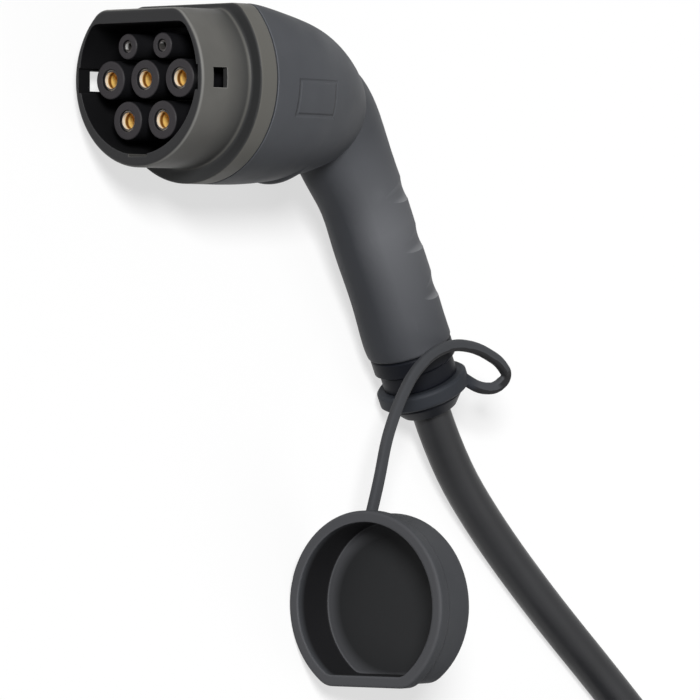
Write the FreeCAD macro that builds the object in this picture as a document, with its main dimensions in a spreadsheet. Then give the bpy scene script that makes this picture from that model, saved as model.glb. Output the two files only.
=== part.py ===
import FreeCAD, Part
import Sketcher
import math
import os

from FreeCAD import Placement, Rotation, Vector

# A seven-pole charging cable: connector with sleeve contacts, tethered cap, cable, station plug.
# Each end is drawn in its own frame: X out of the face, Z towards the flat of the D,
# origin at the mouth of the earth contact. Lengths are millimetres, angles degrees.

doc = FreeCAD.newDocument("charging_cable")
sheet = doc.addObject("Spreadsheet::Sheet", "dims")
sheet_row = 0


def set_size(alias, text):
    global sheet_row
    sheet_row += 1
    sheet.set("A%d" % sheet_row, alias)
    sheet.set("B%d" % sheet_row, str(text))
    sheet.setAlias("B%d" % sheet_row, alias)


# Driving sizes

driving = {
    # how it lies
    "lie_roll": 10.2,
    # contact pattern
    "power_pitch": 17.0,
    "lower_drop": 14.7,
    "signal_pitch": 17.0,
    "signal_rise": 11.8,
    # sleeve contacts
    "power_bore": 3.025,
    "power_sleeve": 3.8,
    "signal_bore": 1.525,
    "signal_sleeve": 2.2,
    "bore_depth": 28.0,
    "mouth_bevel": 0.35,
    "shoulder_step": 1.6,
    "shoulder_length": 3.0,
    "crimp_length": 18.0,
    "crimp_depth": 10.0,
    "crimp_wall": 1.5,
    "power_core": 2.0,
    "signal_core": 0.95,
    "core_play": 0.1,
    "core_straight": 10.0,
    "core_gather": 0.25,
    # towers
    "tower_lead": 0.6,
    "power_tower": 6.9,
    "signal_tower": 4.6,
    "tower_bevel": 0.6,
    "sleeve_play": 0.1,
    # collar
    "rim_reach": 4.2,
    "power_clear": 4.8,
    "signal_clear": 3.7,
    "collar_corner": 8.0,
    "side_wall": 2.8,
    "floor_wall": 4.5,
    "roof_wall": 5.0,
    "rim_round": 1.6,
    "lock_front": 1.8,
    "lock_rear": 8.9,
    "lock_tall": 7.2,
    "keyway_wide": 9.0,
    "keyway_deep": 0.7,
    "keyway_length": 20.0,
    # flange
    "flange_front": 21.0,
    "flange_rear": 29.0,
    "flange_step": 5.4,
    "flange_rise": 2.2,
    "flange_round": 0.8,
    "root_round": 1.5,
    "seal_thick": 0.8,
    "seal_inset": 0.8,
    "spigot_length": 13.0,
    "spigot_wall": 2.2,
    "spigot_gap": 0.5,
    "spigot_low": 1.8,
    "spigot_corner": 13.0,
    # carrier base and retainer
    "base_front": 30.2,
    "base_thick": 7.0,
    "retainer_thick": 3.5,
    "plate_gap": 0.3,
    "screw_shank": 1.4,
    "screw_head": 2.7,
    "screw_head_tall": 2.0,
    "screw_beside": 5.6,
    "screw_drop": 14.0,
    "screw_above": 4.2,
    "screw_bite": 5.0,
    # shell
    "shell_wall": 2.6,
    "corner_share": 0.62,
    "end_round": 1.4,
    "grip_tilt": 64.0,
    "grip_end_back": 141.8,
    "grip_end_drop": 95.0,
    "grip_radius": 16.0,
    "grip_flat": 15.2,
    "scoop_tube": 20.0,
    "scoop_reach": 15.9,
    "scoop_shift": 0.7,
    "scoop_first": 21.0,
    "scoop_pitch": 19.6,
    # boot
    "cable_radius": 7.25,
    "boot_clear": 0.1,
    "boot_bead": 15.6,
    "boot_bead_end": 7.4,
    "boot_neck": 14.0,
    "groove_start": 13.4,
    "groove_end": 20.2,
    "groove_radius": 12.4,
    "lip_radius": 13.8,
    "lip_land": 1.3,
    "boot_end": 25.7,
    "boot_tip": 10.4,
    "plug_in": 10.0,
    "plug_in_radius": 12.3,
    "seal_pocket": 5.0,
    "seal_radius": 9.7,
    "edge_break": 0.8,
    # cord grip
    "clamp_inset": 3.0,
    "clamp_length": 9.0,
    "clamp_radius": 11.0,
    "clamp_split": 0.8,
    "clamp_screw_side": 9.15,
    "clamp_screw": 1.2,
    "clamp_screw_long": 14.0,
    "tail_length": 27.0,
    # tether and cap
    "ring_gap": 0.4,
    "ring_radius": 17.2,
    "strap_wide": 4.4,
    "strap_thick": 3.2,
    "strap_round": 1.3,
    "cap_back": 81.0,
    "cap_side": 31.9,
    "cap_drop": 188.9,
    "cap_turn": 5.0,
    "cap_radius": 34.5,
    "cap_squash": 5.0,
    "cap_corner": 9.0,
    "cap_deep": 21.0,
    "cap_floor": 3.0,
    "cap_wall": 2.8,
    "cap_bead_wide": 5.0,
    "cap_bead_proud": 1.3,
    "cap_round": 3.5,
    "cap_mouth_round": 1.0,
    # coil
    "coil_centre_x": 362.5,
    "coil_centre_y": 214.0,
    "coil_outer": 117.7,
    "coil_inner": 58.3,
    "coil_high": 29.0,
    "coil_round": 6.5,
    "coil_arrive": 135.5,
    "lead_straight": 22.0,
    "lead_turn_x": 161.5,
    "lead_turn_y": 185.4,
    "lead_lift": 1.0,
    "climb_lift": 0.4,
    "end_straight": 28.0,
    "tie_thick": 1.2,
    "tie_wide": 20.0,
    "tie_angle": 235.0,
    "tie_play": 0.3,
    "tie_bow": 1.0,
    # station plug
    "plug_x": 393.5,
    "plug_y": -78.0,
    "plug_turn": 116.3,
    "nose_gap": 0.4,
    "well_gap": 0.8,
    "pin_seat": 4.0,
    "pin_power": 3.0,
    "pin_signal": 1.5,
    "pin_recess": 6.0,
}

for name, value in driving.items():
    set_size(name, value)

# Stations of the head barrel: distance behind the seam, narrowing, flat's narrowing, centre's drop
barrel_stations = [
    (0.0, 0.0, 0.0, 0.0),
    (17.0, 0.2, 2.2, 0.0),
    (31.0, 2.6, 3.9, 1.2),
    (45.0, 7.0, 5.6, 3.2),
    (59.0, 13.2, 10.7, 5.6),
    (69.0, 20.0, 16.3, 8.0),
]
# Stations of the grip: distance behind the face, drop, tilt, radius and flat over the grip's own
grip_stations = [
    (62.0, 3.0, 8.0, 8.0, 4.8),
    (87.0, 7.5, 30.0, 5.0, 5.1),
    (98.0, 14.0, 52.0, 2.4, 2.0),
    (109.5, 32.0, 62.0, 0.7, 0.7),
]
# Stations of the grip's straight length, as shares of it measured from the lower end
grip_runs = [0.85, 0.7, 0.5, 0.25, 0.0]
# Stations of the core wires: distance behind the face, drop, tilt, share of the contact pattern
core_stations = [
    (92.0, 7.0, 30.0, 0.62),
    (107.0, 24.0, 58.0, 0.36),
]

for index, (behind, narrow, flat_narrow, drop) in enumerate(barrel_stations):
    set_size("barrel_behind_%d" % index, behind)
    set_size("barrel_narrow_%d" % index, narrow)
    set_size("barrel_squash_%d" % index, flat_narrow)
    set_size("barrel_drop_%d" % index, drop)
for index, (behind, drop, tilt, share) in enumerate(core_stations):
    set_size("core_behind_%d" % index, behind)
    set_size("core_drop_%d" % index, drop)
    set_size("core_lean_%d" % index, tilt)
    set_size("core_share_%d" % index, share)
for index, (behind, drop, tilt, wider, taller) in enumerate(grip_stations):
    set_size("grip_behind_%d" % index, behind)
    set_size("grip_drop_%d" % index, drop)
    set_size("grip_lean_%d" % index, tilt)
    set_size("grip_wider_%d" % index, wider)
    set_size("grip_taller_%d" % index, taller)

# Sizes that follow from the driving ones

derived = {
    "collar_radius": "=power_pitch + power_tower + power_clear + side_wall",
    "collar_flat": "=signal_rise + signal_tower + signal_clear + roof_wall",
    "flange_radius": "=collar_radius + flange_step",
    "flange_flat": "=collar_flat + flange_rise",
    "screw_side": "=power_pitch + screw_beside",
    "screw_rise": "=signal_rise + screw_above",
    "cavity_rise": "=(floor_wall - side_wall)",
    "cavity_radius": "=collar_radius - side_wall",
    "cavity_flat": "=collar_flat - roof_wall - cavity_rise",
    "cavity_corner": "=collar_corner - side_wall",
    "seam": "=flange_rear + seal_thick",
    "spigot_radius": "=flange_radius - shell_wall - spigot_gap",
    "spigot_flat": "=flange_flat - shell_wall - spigot_gap - spigot_low",
    "spigot_inner": "=spigot_radius - spigot_wall",
    "spigot_inner_flat": "=spigot_flat - spigot_wall",
    "spigot_inner_corner": "=spigot_corner - spigot_wall",
    "seal_outer": "=flange_radius - seal_inset",
    "seal_outer_flat": "=flange_flat - seal_inset",
    "seal_inner": "=spigot_radius + spigot_gap",
    "seal_inner_flat": "=spigot_flat + spigot_gap",
    "plate_radius": "=spigot_inner - plate_gap",
    "plate_flat": "=spigot_inner_flat - plate_gap",
    "base_rear": "=base_front + base_thick",
    "shoulder_front": "=base_rear - shoulder_length",
    "retainer_rear": "=base_rear + retainer_thick",
    "power_shoulder": "=power_sleeve + shoulder_step",
    "signal_shoulder": "=signal_sleeve + shoulder_step",
    "crimp_end": "=base_rear + crimp_length",
    "crimp_floor": "=crimp_end - crimp_depth",
    "power_crimp_bore": "=power_core + core_play",
    "signal_crimp_bore": "=signal_core + core_play",
    "power_crimp": "=power_crimp_bore + crimp_wall",
    "signal_crimp": "=signal_crimp_bore + crimp_wall * 0.7",
    "ring_bore": "=groove_radius + ring_gap",
    "ring_start": "=groove_start + ring_gap",
    "ring_end": "=groove_end - ring_gap",
    "boot_bore": "=cable_radius + boot_clear",
    "lip_end": "=groove_end + lip_land",
    "bead_low": "=boot_bead - edge_break",
    "bead_in": "=edge_break",
    "bead_out": "=boot_bead_end - edge_break * 1.5",
    "neck_start": "=boot_bead_end",
    "clamp_start": "=tail_length - clamp_inset",
    "clamp_end": "=clamp_start - clamp_length",
    "cap_flat": "=cap_radius - cap_squash",
    "cap_body": "=cap_radius - cap_bead_proud",
    "cap_body_flat": "=cap_flat - cap_bead_proud",
    "cap_inner": "=cap_body - cap_wall",
    "cap_inner_flat": "=cap_body_flat - cap_wall",
    "cap_inner_corner": "=cap_corner - cap_wall",
    "cap_hollow": "=cap_deep - cap_floor",
    "nose_radius": "=cavity_radius - nose_gap",
    "nose_flat": "=cavity_flat - nose_gap",
    "nose_corner": "=cavity_corner",
    "power_well": "=power_tower + well_gap",
    "signal_well": "=signal_tower + well_gap",
    "power_pin_seat": "=pin_power + sleeve_play",
    "signal_pin_seat": "=pin_signal + sleeve_play",
    "power_mouth": "=power_sleeve - mouth_bevel",
    "signal_mouth": "=signal_sleeve - mouth_bevel",
    "power_passage": "=power_sleeve + sleeve_play",
    "signal_passage": "=signal_sleeve + sleeve_play",
    "power_pocket": "=power_shoulder + sleeve_play",
    "signal_pocket": "=signal_shoulder + sleeve_play",
    "power_exit": "=power_crimp + sleeve_play",
    "signal_exit": "=signal_crimp + sleeve_play",
    "screw_hole": "=screw_shank + sleeve_play",
    "screw_reach": "=base_rear - screw_bite",
    "seal_seat_radius": "=seal_radius - boot_clear",
    "seal_back": "=plug_in - boot_clear",
    "clamp_bore": "=cable_radius + boot_clear",
    "ring_soft": "=ring_radius - edge_break",
    "ring_start_in": "=ring_start + edge_break",
    "ring_end_in": "=ring_end - edge_break",
    "power_pin_in": "=pin_power - edge_break",
    "signal_pin_in": "=pin_signal - edge_break",
    "pin_front": "=pin_recess - rim_reach",
    "pin_root": "=flange_front + pin_seat",
    "pin_front_in": "=pin_front + edge_break",
}
for name, formula in derived.items():
    set_size(name, formula)
for index in range(len(barrel_stations)):
    set_size("barrel_x_%d" % index, "=seam + barrel_behind_%d" % index)
    set_size("barrel_r_%d" % index, "=flange_radius - barrel_narrow_%d" % index)
    set_size("barrel_f_%d" % index, "=flange_flat - barrel_squash_%d" % index)
    set_size("barrel_r_in_%d" % index, "=barrel_r_%d - shell_wall" % index)
    set_size("barrel_f_in_%d" % index, "=barrel_f_%d - shell_wall" % index)
for index in range(len(grip_stations)):
    set_size("grip_r_%d" % index, "=grip_radius + grip_wider_%d" % index)
    set_size("grip_f_%d" % index, "=grip_flat + grip_taller_%d" % index)
    set_size("grip_r_in_%d" % index, "=grip_r_%d - shell_wall" % index)
    set_size("grip_f_in_%d" % index, "=grip_f_%d - shell_wall" % index)
set_size("grip_radius_in", "=grip_radius - shell_wall")
set_size("grip_flat_in", "=grip_flat - shell_wall")
# corners grow to a set share of the flat, except where the barrel meets the flange
corner_of = {}
sections = [("grip_radius", "grip_flat"), ("grip_radius_in", "grip_flat_in")]
for inner in ("", "_in"):
    for index in range(len(barrel_stations)):
        sections.append(("barrel_r%s_%d" % (inner, index), "barrel_f%s_%d" % (inner, index)))
    for index in range(len(grip_stations)):
        sections.append(("grip_r%s_%d" % (inner, index), "grip_f%s_%d" % (inner, index)))
for radius, flat in sections:
    corner_of[radius] = radius + "_corner"
    set_size(corner_of[radius], "=%s * corner_share" % flat)
corner_of["barrel_r_0"] = "collar_corner"
corner_of["barrel_r_in_0"] = "collar_corner"
doc.recompute()


def size(term):
    if term.startswith("-"):
        return -float(sheet.get(term[1:]))
    return float(sheet.get(term))


def cell(term):
    if term.startswith("-"):
        return "-dims." + term[1:]
    return "dims." + term


# The seven poles: name, Y and Z terms, power or signal
poles = [
    ("pe", 0.0, 0.0, "power"),
    ("n", size("power_pitch"), 0.0, "power"),
    ("l1", -size("power_pitch"), 0.0, "power"),
    ("l2", size("power_pitch") / 2, -size("lower_drop"), "power"),
    ("l3", -size("power_pitch") / 2, -size("lower_drop"), "power"),
    ("cp", size("signal_pitch") / 2, size("signal_rise"), "signal"),
    ("pp", -size("signal_pitch") / 2, size("signal_rise"), "signal"),
]

# Placements

roll = math.radians(size("lie_roll"))
lie = Placement(
    Vector(0, 0, 0),
    Rotation(
        Vector(0, -1, 0),
        Vector(math.sin(roll), 0, math.cos(roll)),
        Vector(-math.cos(roll), 0, math.sin(roll)),
        "XYZ",
    ),
)
tilt = math.radians(size("grip_tilt"))
grip_way = Vector(-math.cos(tilt), 0, -math.sin(tilt))
grip_end = Vector(-size("grip_end_back"), 0, -size("grip_end_drop"))
along_grip = Placement(
    grip_end,
    Rotation(grip_way, Vector(0, 1, 0), grip_way.cross(Vector(0, 1, 0)), "XYZ"),
)
floor_z = -size("flange_radius")
cable_z = floor_z + size("cable_radius")

plug_lie = Placement(
    Vector(size("plug_x"), size("plug_y"), 0),
    Rotation(Vector(0, 0, 1), size("plug_turn")),
).multiply(
    Placement(
        Vector(0, 0, 0),
        Rotation(
            Vector(0, 1, 0),
            Vector(-math.sin(roll), 0, -math.cos(roll)),
            Vector(-math.cos(roll), 0, math.sin(roll)),
            "XYZ",
        ),
    )
)

finished = []


def finish(item, label, place):
    item.Label = label
    item.Placement = place
    finished.append(item)
    return item


# Sketch helpers


def plane_of(body, role):
    for feature in body.Origin.OriginFeatures:
        if feature.Role == role:
            return feature
    raise ValueError(role)


def new_sketch(body, name, role, station=None):
    sketch = body.newObject("Sketcher::SketchObject", name)
    sketch.AttachmentSupport = (plane_of(body, role), "")
    sketch.MapMode = "FlatFace"
    if station:
        sketch.setExpression("AttachmentOffset.Base.z", cell(station))
    return sketch


def bind(sketch, kind, *arguments, term):
    # one driving constraint, tied to its cell
    number = sketch.addConstraint(Sketcher.Constraint(kind, *arguments, size(term)))
    sketch.setExpression("Constraints[%d]" % number, cell(term))


def d_profile(sketch, radius, flat, corner, rise=None, turned=False):
    # round below, flat above with two rounded corners; turned puts the flat below
    big, high, small = size(radius), size(flat), size(corner)
    across = math.sqrt((big - small) ** 2 - (high - small) ** 2)
    lift = size(rise) if rise else 0.0
    way = -1.0 if turned else 1.0
    spin = math.pi if turned else 0.0
    beta = math.atan2(high - small, across)

    def spot(y, z):
        return Vector(way * y, way * z + lift, 0)

    def arc(centre, r, start, stop):
        circle = Part.Circle(centre, Vector(0, 0, 1), r)
        return Part.ArcOfCircle(circle, start + spin, stop + spin)

    sketch.addGeometry(arc(spot(0, 0), big, math.pi - beta, 2 * math.pi + beta))
    sketch.addGeometry(arc(spot(across, high - small), small, beta, math.pi / 2))
    sketch.addGeometry(Part.LineSegment(spot(across, high), spot(-across, high)))
    sketch.addGeometry(arc(spot(-across, high - small), small, math.pi / 2, math.pi - beta))
    for first, first_end, second in [(0, 2, 1), (1, 2, 2), (2, 2, 3), (3, 2, 0)]:
        sketch.addConstraint(Sketcher.Constraint("Tangent", first, first_end, second, 1))
    sketch.addConstraint(Sketcher.Constraint("Horizontal", 2))
    sketch.addConstraint(Sketcher.Constraint("Equal", 1, 3))
    if rise:
        sketch.addConstraint(Sketcher.Constraint("PointOnObject", 0, 3, -2))
        bind(sketch, "DistanceY", -1, 1, 0, 3, term=rise)
    else:
        sketch.addConstraint(Sketcher.Constraint("Coincident", 0, 3, -1, 1))
    bind(sketch, "Radius", 0, term=radius)
    bind(sketch, "Radius", 1, term=corner)
    bind(sketch, "DistanceY", 0, 3, 2, 1, term=("-" + flat) if turned else flat)


def outline(sketch, corners):
    # closed run of straight edges; each corner is a pair of cells, or None on an axis
    points = [Vector(size(a) if a else 0.0, size(b) if b else 0.0, 0) for a, b in corners]
    for index, point in enumerate(points):
        sketch.addGeometry(Part.LineSegment(point, points[(index + 1) % len(points)]))
    for index, (a, b) in enumerate(corners):
        sketch.addConstraint(
            Sketcher.Constraint("Coincident", index, 2, (index + 1) % len(points), 1)
        )
        if a:
            bind(sketch, "DistanceX", -1, 1, index, 1, term=a)
        else:
            sketch.addConstraint(Sketcher.Constraint("PointOnObject", index, 1, -2))
        if b:
            bind(sketch, "DistanceY", -1, 1, index, 1, term=b)
        else:
            sketch.addConstraint(Sketcher.Constraint("PointOnObject", index, 1, -1))


def pad(body, sketch, length, back=True):
    feature = body.newObject("PartDesign::Pad", sketch.Name + "_pad")
    feature.Profile = sketch
    feature.Length = 1
    feature.setExpression("Length", length if "dims." in length else cell(length))
    feature.Reversed = back
    return feature


def pocket(body, sketch, length, back=True):
    feature = body.newObject("PartDesign::Pocket", sketch.Name + "_cut")
    feature.Profile = sketch
    feature.Length = 1
    feature.setExpression("Length", length if "dims." in length else cell(length))
    feature.Reversed = not back
    return feature


def turned_part(name, corners):
    # a body of revolution about the X axis
    body = doc.addObject("PartDesign::Body", name)
    sketch = new_sketch(body, name + "_profile", "XY_Plane")
    outline(sketch, corners)
    turn = body.newObject("PartDesign::Revolution", name + "_turn")
    turn.Profile = sketch
    turn.ReferenceAxis = (sketch, ["H_Axis"])
    turn.Angle = 360
    return body


def holes(body, name, station, spots, depth):
    # round pockets running back from a station
    sketch = new_sketch(body, name, "YZ_Plane", station)
    for number, (y, z, radius) in enumerate(spots):
        sketch.addGeometry(Part.Circle(Vector(y, z, 0), Vector(0, 0, 1), size(radius)))
        sketch.addConstraint(Sketcher.Constraint("Block", number))
    return pocket(body, sketch, depth)


# Sleeve contacts


def sleeve_contact(label, kind, y, z):
    body = turned_part(
        label,
        [
            ("-mouth_bevel", kind + "_sleeve"),
            ("-shoulder_front", kind + "_sleeve"),
            ("-shoulder_front", kind + "_shoulder"),
            ("-base_rear", kind + "_shoulder"),
            ("-base_rear", kind + "_crimp"),
            ("-crimp_end", kind + "_crimp"),
            ("-crimp_end", kind + "_crimp_bore"),
            ("-crimp_floor", kind + "_crimp_bore"),
            ("-crimp_floor", None),
            ("-bore_depth", None),
            ("-bore_depth", kind + "_bore"),
            (None, kind + "_bore"),
            (None, kind + "_mouth"),
        ],
    )
    finish(body, label, lie.multiply(Placement(Vector(0, y, z), Rotation())))


for pole, y, z, kind in poles:
    sleeve_contact(pole + "_contact", kind, y, z)

# Collar with flange and spigot

collar = doc.addObject("PartDesign::Body", "collar")
sleeve_sketch = new_sketch(collar, "collar_sleeve", "YZ_Plane", "rim_reach")
d_profile(sleeve_sketch, "collar_radius", "collar_flat", "collar_corner")
sleeve_pad = pad(collar, sleeve_sketch, "dims.rim_reach + dims.flange_rear")
flange_sketch = new_sketch(collar, "flange", "YZ_Plane", "-flange_front")
d_profile(flange_sketch, "flange_radius", "flange_flat", "collar_corner")
flange_pad = pad(collar, flange_sketch, "dims.flange_rear - dims.flange_front")
spigot_sketch = new_sketch(collar, "spigot", "YZ_Plane", "-flange_rear")
d_profile(spigot_sketch, "spigot_radius", "spigot_flat", "spigot_corner")
spigot_pad = pad(collar, spigot_sketch, "spigot_length")
doc.recompute()


def edges_at(feature, x):
    # names of the edges that lie wholly in the plane X = x
    names = []
    for number, edge in enumerate(feature.Shape.Edges, start=1):
        box = edge.BoundBox
        if abs(box.XMin - x) < 1e-4 and abs(box.XMax - x) < 1e-4:
            names.append("Edge%d" % number)
    return names


def on_flange_rim(feature, name):
    # tells the flange's own outline from the foot of the collar
    box = feature.Shape.getElement(name).BoundBox
    within = 1.0
    return box.ZMax > size("flange_flat") - within or box.ZMin < within - size("flange_radius")


def rounded(body, name, base, edges, radius):
    feature = body.newObject("PartDesign::Fillet", name)
    feature.Base = (base, edges)
    feature.Radius = size(radius)
    feature.setExpression("Radius", cell(radius))
    doc.recompute()
    return feature


rim_fillet = rounded(
    collar, "rim_fillet", spigot_pad, edges_at(spigot_pad, size("rim_reach")), "rim_round"
)
root_edges = [
    edge
    for edge in edges_at(rim_fillet, -size("flange_front"))
    if not on_flange_rim(rim_fillet, edge)
]
root_fillet = rounded(collar, "root_fillet", rim_fillet, root_edges, "root_round")
flange_edges = [
    edge
    for edge in edges_at(root_fillet, -size("flange_front"))
    if on_flange_rim(root_fillet, edge)
]
rounded(collar, "flange_fillet", root_fillet, flange_edges, "flange_round")
cavity_sketch = new_sketch(collar, "cavity", "YZ_Plane", "rim_reach")
d_profile(cavity_sketch, "cavity_radius", "cavity_flat", "cavity_corner", rise="cavity_rise")
pocket(collar, cavity_sketch, "dims.rim_reach + dims.flange_rear + dims.spigot_length")
seat_sketch = new_sketch(collar, "seat", "YZ_Plane", "-base_front")
d_profile(seat_sketch, "spigot_inner", "spigot_inner_flat", "spigot_inner_corner")
pocket(collar, seat_sketch, "spigot_length")


def block_cut(body, name, y_low, y_high, z_low, z_high, station, depth):
    sketch = new_sketch(body, name, "YZ_Plane", station)
    corners = [(y_low, z_low), (y_high, z_low), (y_high, z_high), (y_low, z_high)]
    points = [Vector(y, z, 0) for y, z in corners]
    for index in range(4):
        sketch.addGeometry(Part.LineSegment(points[index], points[(index + 1) % 4]))
    for index in range(4):
        sketch.addConstraint(Sketcher.Constraint("Block", index))
    return pocket(body, sketch, depth)


half_tall = size("lock_tall") / 2
block_cut(
    collar, "lock_holes",
    -size("collar_radius") - 1, size("collar_radius") + 1, -half_tall, half_tall,
    "-lock_front", "dims.lock_rear - dims.lock_front",
)
keyway_y = size("cavity_radius") + size("keyway_deep")
half_key = size("keyway_wide") / 2
block_cut(
    collar, "keyways",
    -keyway_y, keyway_y, -half_key, half_key,
    "rim_reach", "keyway_length",
)
notch_low = size("cavity_rise") - keyway_y
block_cut(
    collar, "floor_notch",
    -half_key, half_key, notch_low, notch_low + 3 * size("keyway_deep"),
    "rim_reach", "keyway_length",
)
finish(collar, "contact_shroud", lie)

# Carrier: base plate and seven towers

carrier = doc.addObject("PartDesign::Body", "carrier")
base_sketch = new_sketch(carrier, "base_plate", "YZ_Plane", "-base_front")
d_profile(base_sketch, "plate_radius", "plate_flat", "spigot_inner_corner")
pad(carrier, base_sketch, "base_thick")
tower_sketch = new_sketch(carrier, "towers", "YZ_Plane", "tower_lead")
for number, (pole, y, z, kind) in enumerate(poles):
    tower_sketch.addGeometry(
        Part.Circle(Vector(y, z, 0), Vector(0, 0, 1), size(kind + "_tower"))
    )
    tower_sketch.addConstraint(Sketcher.Constraint("Block", number))
tower_pad = pad(carrier, tower_sketch, "dims.tower_lead + dims.base_front")
doc.recompute()
rounded(
    carrier, "tower_rounds", tower_pad, edges_at(tower_pad, size("tower_lead")), "tower_bevel"
)
screw_spots = [
    (size("screw_side"), -size("screw_drop")),
    (-size("screw_side"), -size("screw_drop")),
    (0.0, size("screw_rise")),
]
holes(
    carrier, "passages", "tower_lead",
    [(y, z, kind + "_passage") for pole, y, z, kind in poles],
    "dims.tower_lead + dims.base_rear",
)
holes(
    carrier, "shoulder_pockets", "-shoulder_front",
    [(y, z, kind + "_pocket") for pole, y, z, kind in poles],
    "shoulder_length",
)
holes(
    carrier, "screw_holes", "-screw_reach",
    [(y, z, "screw_hole") for y, z in screw_spots],
    "screw_bite",
)
finish(carrier, "contact_carrier", lie)

# Retainer plate and its screws

retainer = doc.addObject("PartDesign::Body", "retainer")
retainer_sketch = new_sketch(retainer, "retainer_plate", "YZ_Plane", "-base_rear")
d_profile(retainer_sketch, "plate_radius", "plate_flat", "spigot_inner_corner")
pad(retainer, retainer_sketch, "retainer_thick")
holes(
    retainer, "retainer_holes", "-base_rear",
    [(y, z, kind + "_exit") for pole, y, z, kind in poles]
    + [(y, z, "screw_hole") for y, z in screw_spots],
    "retainer_thick",
)
finish(retainer, "contact_retainer", lie)

screws = []
for number, (y, z) in enumerate(screw_spots):
    shank = doc.addObject("Part::Cylinder", "screw_shank_%d" % number)
    shank.setExpression("Radius", cell("screw_shank"))
    shank.setExpression("Height", "dims.retainer_rear - dims.screw_reach - dims.sleeve_play")
    shank.Placement = Placement(
        Vector(-size("retainer_rear"), y, z), Rotation(Vector(0, 1, 0), 90)
    )
    head = doc.addObject("Part::Cylinder", "screw_head_%d" % number)
    head.setExpression("Radius", cell("screw_head"))
    head.setExpression("Height", cell("screw_head_tall"))
    head.Placement = Placement(
        Vector(-size("retainer_rear"), y, z), Rotation(Vector(0, 1, 0), -90)
    )
    screws += [shank, head]
screw_set = doc.addObject("Part::MultiFuse", "screw_set")
screw_set.Shapes = screws
finish(screw_set, "retainer_screws", lie)

# Flat gasket in the seam

gasket = doc.addObject("PartDesign::Body", "gasket")
gasket_sketch = new_sketch(gasket, "gasket_outer", "YZ_Plane", "-flange_rear")
d_profile(gasket_sketch, "seal_outer", "seal_outer_flat", "collar_corner")
pad(gasket, gasket_sketch, "seal_thick")
gasket_hole = new_sketch(gasket, "gasket_inner", "YZ_Plane", "-flange_rear")
d_profile(gasket_hole, "seal_inner", "seal_inner_flat", "spigot_corner")
pocket(gasket, gasket_hole, "seal_thick")
finish(gasket, "flange_seal", lie)

# Shell: head barrel and grip as two lofts in one moulding, hollowed by the same stations


def station_sketch(body, name, x, drop, lean, radius, flat, corner):
    sketch = body.newObject("Sketcher::SketchObject", name)
    sketch.AttachmentSupport = (plane_of(body, "YZ_Plane"), "")
    sketch.MapMode = "FlatFace"
    sketch.AttachmentOffset = Placement(
        Vector(0, -drop, -x), Rotation(Vector(1, 0, 0), -lean)
    )
    d_profile(sketch, radius, flat, corner)
    return sketch


def barrel_sketches(body, tag):
    sketches = []
    inner = "_in" if tag == "in" else ""
    for index in range(len(barrel_stations)):
        radius = "barrel_r%s_%d" % (inner, index)
        flat = "barrel_f%s_%d" % (inner, index)
        name = "%s_barrel_%s_%d" % (body.Name, tag, index)
        sketches.append(
            station_sketch(
                body, name, size("barrel_x_%d" % index),
                size("barrel_drop_%d" % index), 0.0, radius, flat, corner_of[radius],
            )
        )
    return sketches


def grip_sketches(body, tag):
    sketches = []
    inner = "_in" if tag == "in" else ""
    stations = [
        (
            size("grip_behind_%d" % index), size("grip_drop_%d" % index),
            size("grip_lean_%d" % index),
            "grip_r%s_%d" % (inner, index), "grip_f%s_%d" % (inner, index),
        )
        for index in range(len(grip_stations))
    ]
    straight = (size("grip_end_drop") - size("grip_drop_3")) / math.sin(tilt)
    for run in grip_runs:
        reach = run * straight
        end = grip_end - grip_way * reach
        stations.append(
            (-end.x, -end.z, size("grip_tilt"), "grip_radius" + inner, "grip_flat" + inner)
        )
    for index, (x, drop, lean, radius, flat) in enumerate(stations):
        name = "%s_grip_%s_%d" % (body.Name, tag, index)
        sketches.append(
            station_sketch(body, name, x, drop, lean, radius, flat, corner_of[radius])
        )
    return sketches


def loft(body, name, kind, sketches):
    feature = body.newObject("PartDesign::" + kind, name)
    feature.Profile = sketches[0]
    feature.Sections = sketches[1:]
    return feature


def lower_edges(feature):
    # names of the edges in the plane of the grip's lower end
    names = []
    for number, edge in enumerate(feature.Shape.Edges, start=1):
        spots = [edge.valueAt(t) for t in (edge.FirstParameter, edge.LastParameter)]
        if all(abs((spot - grip_end).dot(grip_way)) < 1e-3 for spot in spots):
            names.append("Edge%d" % number)
    return names


def shell_body(name, hollow):
    body = doc.addObject("PartDesign::Body", name)
    loft(body, name + "_barrel", "AdditiveLoft", barrel_sketches(body, "out"))
    grip = loft(body, name + "_grip", "AdditiveLoft", grip_sketches(body, "out"))
    doc.recompute()
    rounded(body, name + "_lower_round", grip, lower_edges(grip), "end_round")
    if hollow:
        loft(body, name + "_barrel_hollow", "SubtractiveLoft", barrel_sketches(body, "in"))
        loft(body, name + "_grip_hollow", "SubtractiveLoft", grip_sketches(body, "in"))
    return body


def scooped(body, name):
    # three shallow crescents round the back of the grip
    rings = []
    for index in range(3):
        ring = doc.addObject("Part::Torus", "%s_scoop_%d" % (name, index))
        ring.setExpression("Radius1", "dims.scoop_reach + dims.scoop_tube")
        ring.setExpression("Radius2", cell("scoop_tube"))
        reach = size("scoop_first") + index * size("scoop_pitch")
        back = Vector(-math.sin(tilt), 0, math.cos(tilt))
        centre = grip_end - grip_way * reach - back * size("scoop_shift")
        ring.Placement = Placement(centre, Rotation(Vector(0, 0, 1), grip_way))
        rings.append(ring)
    cutter = doc.addObject("Part::MultiFuse", name + "_scoops")
    cutter.Shapes = rings
    result = doc.addObject("Part::Cut", name + "_scooped")
    result.Base = body
    result.Tool = cutter
    return result


handle = shell_body("handle", True)
finish(scooped(handle, "handle"), "handle_shell", lie)

# Boot, seal, cord grip and cable end, all on the grip's axis; X runs out along the cable

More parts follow.
